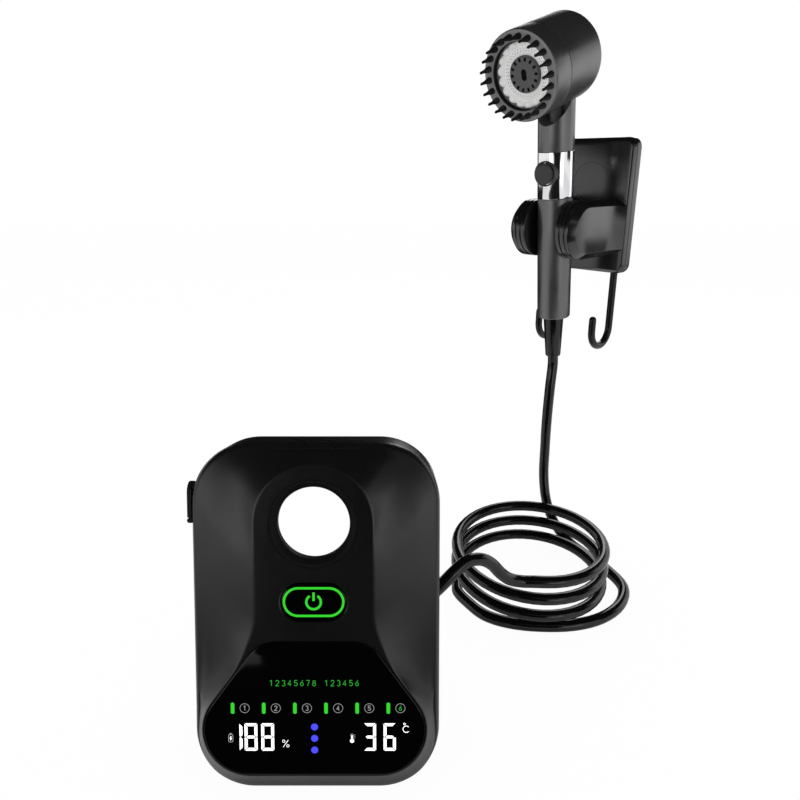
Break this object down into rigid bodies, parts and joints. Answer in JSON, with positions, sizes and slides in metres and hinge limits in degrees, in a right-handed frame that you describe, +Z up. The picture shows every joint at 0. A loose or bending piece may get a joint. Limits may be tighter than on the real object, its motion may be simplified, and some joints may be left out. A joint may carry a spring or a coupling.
{
  "type": "camp shower pump",
  "caption": "Portable electric shower set: upright pump unit with display and carry hole, coiled hose, and a hand shower with massage points on a tilting wall holder.",
  "frame": {"origin": "middle of the pump unit's flat base, on the floor", "axes": "+Z up, -Y the way the pump's display faces, +X to the display's right as seen from the front"},
  "size_m": [0.3014, 0.3507, 0.417],
  "materials": {
    "shell": "black, satin",
    "lens": "black, polished",
    "rubber": "black",
    "hose": "black, glossy",
    "steel": "plain",
    "board": "green solder mask",
    "led_white": "white light",
    "led_green": "green light",
    "led_blue": "blue light",
    "battery": "shrink wrap",
    "copper": "enamelled wire",
    "pump_grey": "moulded",
    "white": "moulded",
    "grey": "dark grey, satin",
    "dark_grey": "dark grey, satin",
    "chrome": "polished",
    "adhesive": "foam"
  },
  "bodies": {
    "pump_and_holder": {"front_cover": "shell", "rear_cover": "shell", "cover_gasket": "rubber", "hole_sleeve": "shell", "cover_screws": "steel", "display_lens": "lens", "display_board": "board", "display_digits": "led_white", "gear_leds": "led_green", "status_leds": "led_blue", "button_switch": "pump_grey", "main_board": "board", "battery_cells": "battery", "battery_tray": "pump_grey", "motor_can": "steel", "motor_endcap": "white", "volute_body": "pump_grey", "volute_cover": "pump_grey", "shaft_seal": "rubber", "inlet_filter": "steel", "inlet_grille": "shell", "outlet_link": "pump_grey", "temperature_probe": "steel", "outlet_elbow": "shell", "hose_collar": "shell", "charge_port": "steel", "port_hinge": "rubber", "hose_pump_run": "hose", "hose_coil": "hose", "hose_drop": "hose", "wall_plate": "grey", "adhesive_pad": "adhesive", "left_arm": "grey", "right_arm": "grey", "left_hook": "grey", "right_hook": "grey", "pivot_pins": "steel"},
    "power_button": {"power_button": "lens", "button_light": "led_green"},
    "port_cover": {"port_cover": "rubber"},
    "rotor": {"motor_shaft": "steel", "motor_armature": "copper", "impeller": "white"},
    "cradle": {"left_ring": "grey", "right_ring": "grey", "cradle_web": "grey", "handle_shell": "grey", "filter_cartridge": "white", "chrome_band": "chrome", "valve_body": "white", "stop_collar": "chrome", "neck": "grey", "water_tube": "white", "head_shell": "grey", "spray_plate": "white", "center_disc": "dark_grey", "hose_nut": "shell"},
    "mode_ring": {"mode_ring": "grey", "comb_ring": "rubber"},
    "stop_button": {"stop_button": "dark_grey"}
  },
  "joints": [
    {"name": "power_press", "type": "slide", "parent": "pump_and_holder", "child": "power_button", "axis": [0, 0.9659, -0.2588], "range_m": [0, 0.0012], "stiffness_N_per_m": 1200},
    {"name": "port_swing", "type": "hinge", "parent": "pump_and_holder", "child": "port_cover", "pos_m": [-0.0664, 0.00783, 0.13628], "axis": [0, -0.9659, 0.2588], "range_deg": [0, 115]},
    {"name": "rotor_spin", "type": "hinge", "parent": "pump_and_holder", "child": "rotor", "pos_m": [-0.024, 0, 0.033], "axis": [0, 1, 0], "continuous": true},
    {"name": "handset_tilt", "type": "hinge", "parent": "pump_and_holder", "child": "cradle", "pos_m": [0.1665, 0.239, 0.2665], "axis": [0.7071, -0.7071, 0], "range_deg": [-6, 18], "deforming": ["hose_drop"]},
    {"name": "mode_turn", "type": "hinge", "parent": "cradle", "child": "mode_ring", "pos_m": [0.15759, 0.23009, 0.38634], "axis": [-0.6686, -0.6686, -0.3256], "range_deg": [0, 120]},
    {"name": "stop_press", "type": "slide", "parent": "cradle", "child": "stop_button", "axis": [0.7032, 0.7032, 0.1045], "range_m": [0, 0.0015], "stiffness_N_per_m": 900}
  ]
}
